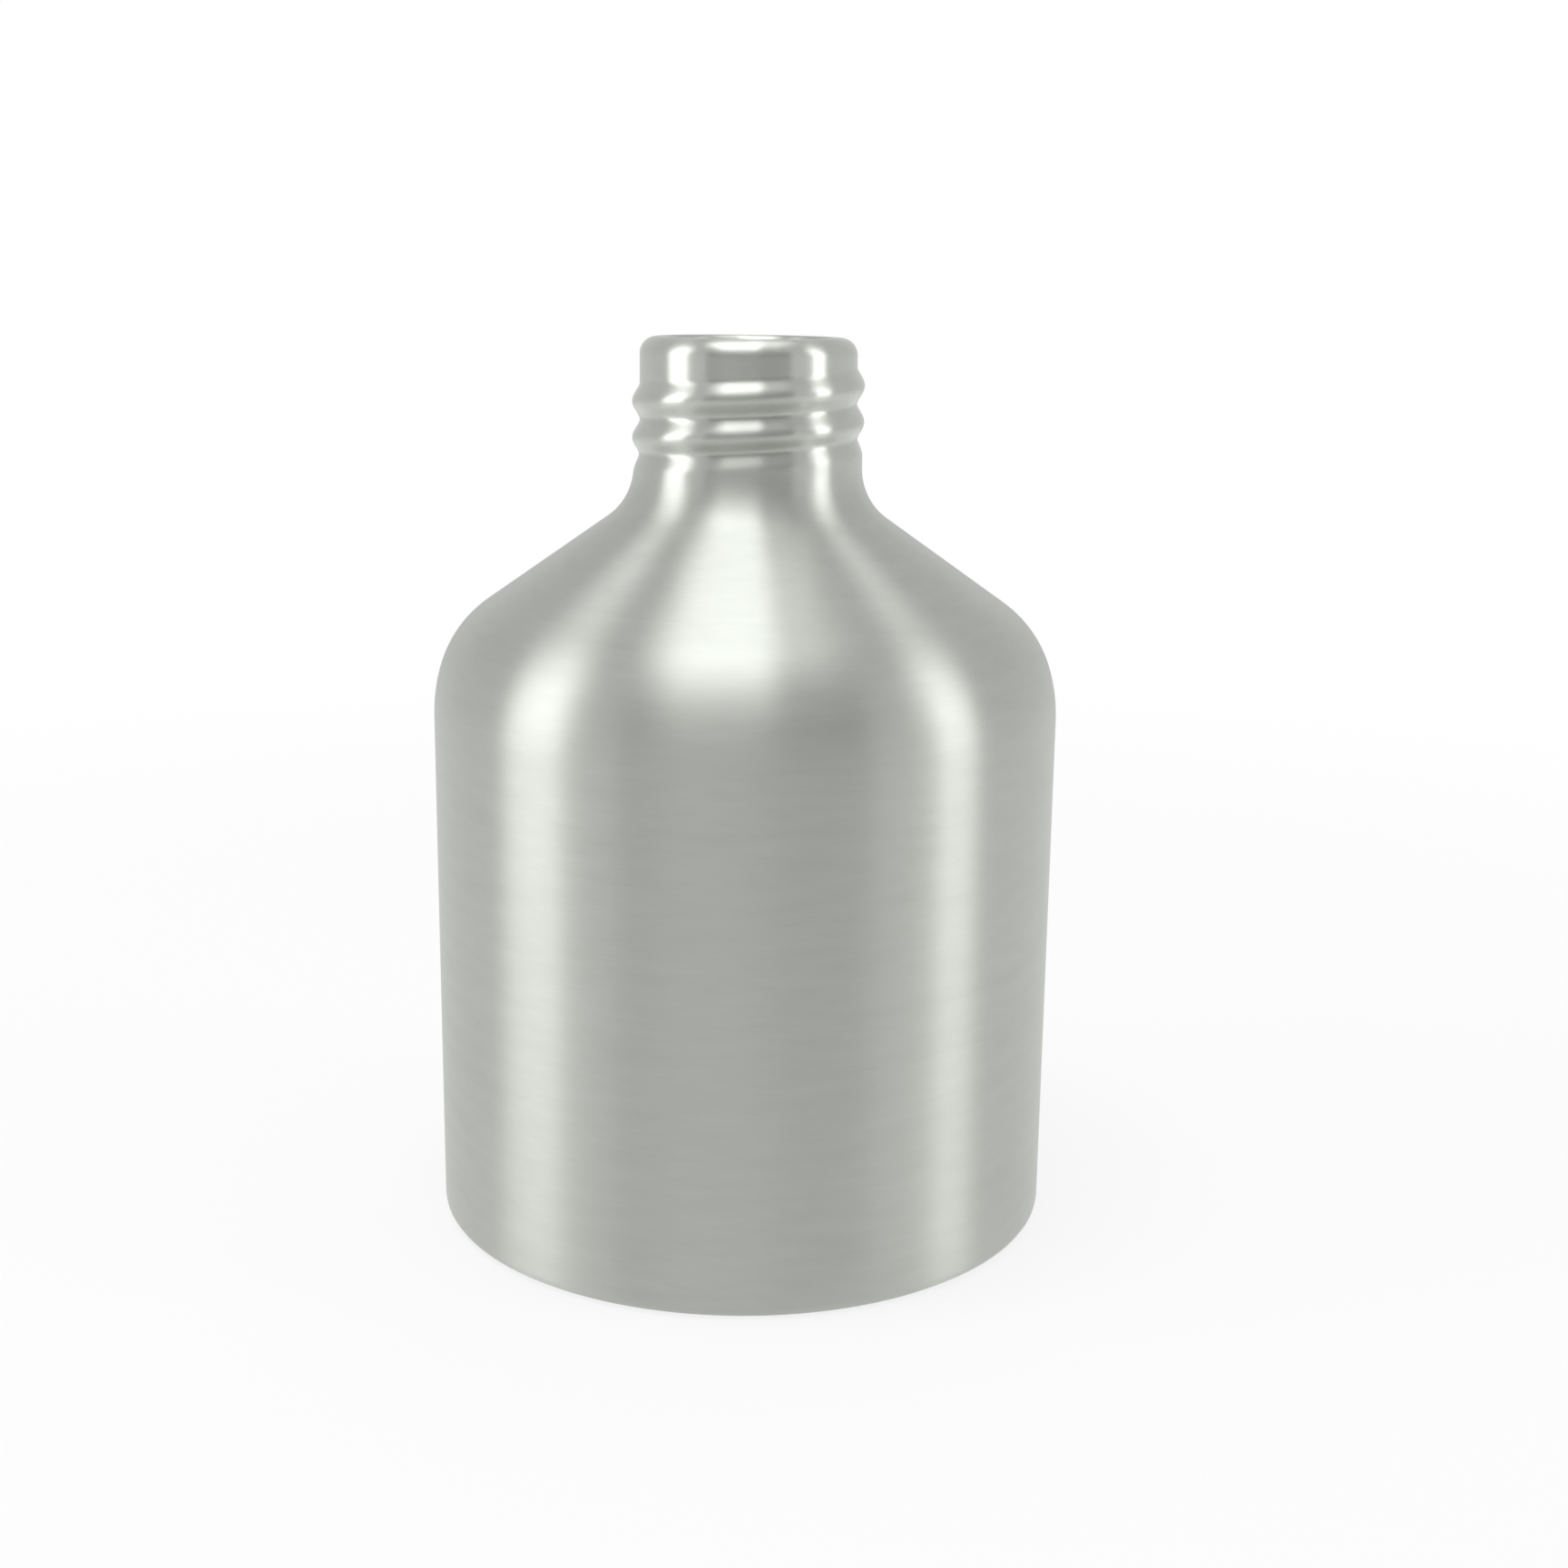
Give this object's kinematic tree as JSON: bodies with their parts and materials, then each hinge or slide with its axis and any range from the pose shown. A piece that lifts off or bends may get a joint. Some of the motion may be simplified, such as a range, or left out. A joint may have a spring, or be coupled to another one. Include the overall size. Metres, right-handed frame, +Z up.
{
  "type": "aluminium bottle",
  "caption": "Open cylindrical aluminium bottle with a sloping shoulder and a rolled screw neck that takes a pump or a cap.",
  "frame": {"origin": "centre of the foot, on the surface that the bottle stands on", "axes": "+Z up along the bottle's own axis, and -Y towards the camera of the picture"},
  "size_m": [0.075, 0.075, 0.1065],
  "materials": {
    "bare_aluminium": "satin, with fine brushed lines that run round the bottle"
  },
  "bodies": {
    "root": {"bottle_shell": "bare_aluminium"}
  },
  "joints": []
}
